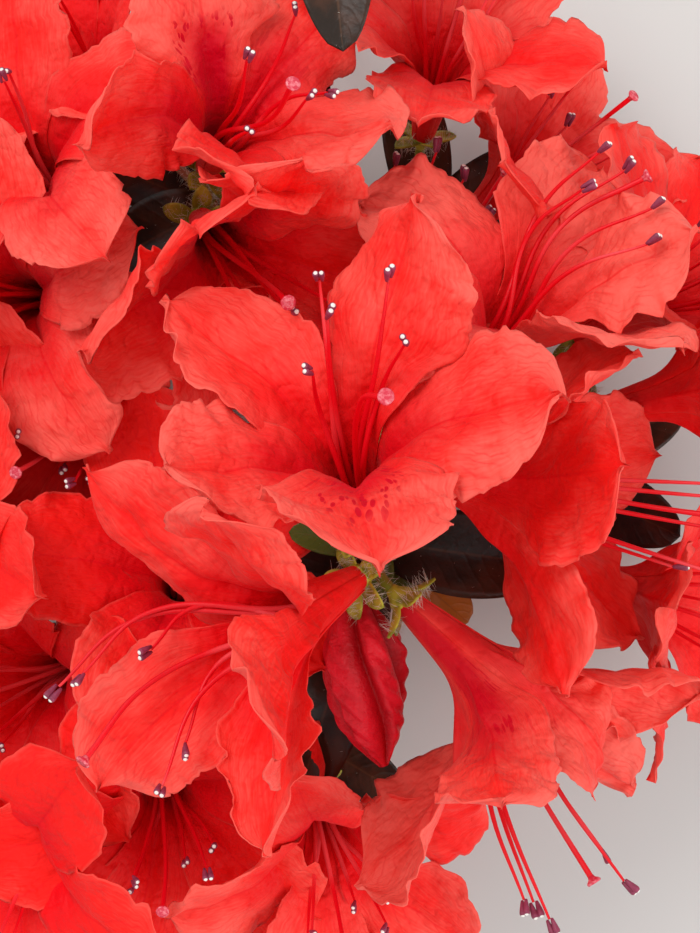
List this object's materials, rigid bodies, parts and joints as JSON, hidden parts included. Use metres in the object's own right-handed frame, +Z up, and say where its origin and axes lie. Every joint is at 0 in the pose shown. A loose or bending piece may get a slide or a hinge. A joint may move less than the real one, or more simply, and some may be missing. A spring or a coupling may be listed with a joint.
{
  "type": "azalea flowering branch",
  "caption": "Cut branch of an evergreen azalea, lying flat, with upturned shoots of dark leaves and large coral-red funnel blooms with long stamens, and a closed bud.",
  "frame": {"origin": "on the surface that the branch lies on, under the middle of its box", "axes": "+Z up from the surface, +Y to the top and +X to the right of a picture taken straight down, with the main stem along X and its cut end at -X"},
  "size_m": [0.1846, 0.2008, 0.1153],
  "materials": {
    "petals": "satin",
    "bud": "satin",
    "leaves": "glossy",
    "bark": "matte"
  },
  "bodies": {
    "root": {"main_stem": "bark", "bough_front": "bark", "bough_back": "bark", "bough_top": "bark", "bough_crown": "bark", "bough_left": "bark", "bough_low": "bark", "bough_foot": "bark", "bough_right": "bark", "bough_tip": "bark", "bloom_centre": "petals", "bloom_sideways": "petals", "bloom_hanging": "petals", "bloom_outward": "petals", "bloom_behind": "petals", "bloom_beyond": "petals", "bloom_crown": "petals", "bloom_crown_low": "petals", "bloom_edge": "petals", "bloom_right_up": "petals", "bloom_right_low": "petals", "bloom_far_right": "petals", "bloom_far_top": "petals", "bloom_corner": "petals", "bloom_left_top": "petals", "bloom_left_mid": "petals", "bloom_left_low": "petals", "bloom_left_far": "petals", "bloom_low_left": "petals", "bloom_low_mid": "petals", "bloom_low_out": "petals", "bloom_low_right": "petals", "bloom_foot_left": "petals", "bud": "bud", "leaves_front": "leaves", "leaves_back": "leaves", "leaves_top": "leaves", "leaves_crown": "leaves", "leaves_left": "leaves", "leaves_low": "leaves", "leaves_foot": "leaves", "leaves_right": "leaves", "leaves_tip": "leaves"}
  },
  "joints": []
}
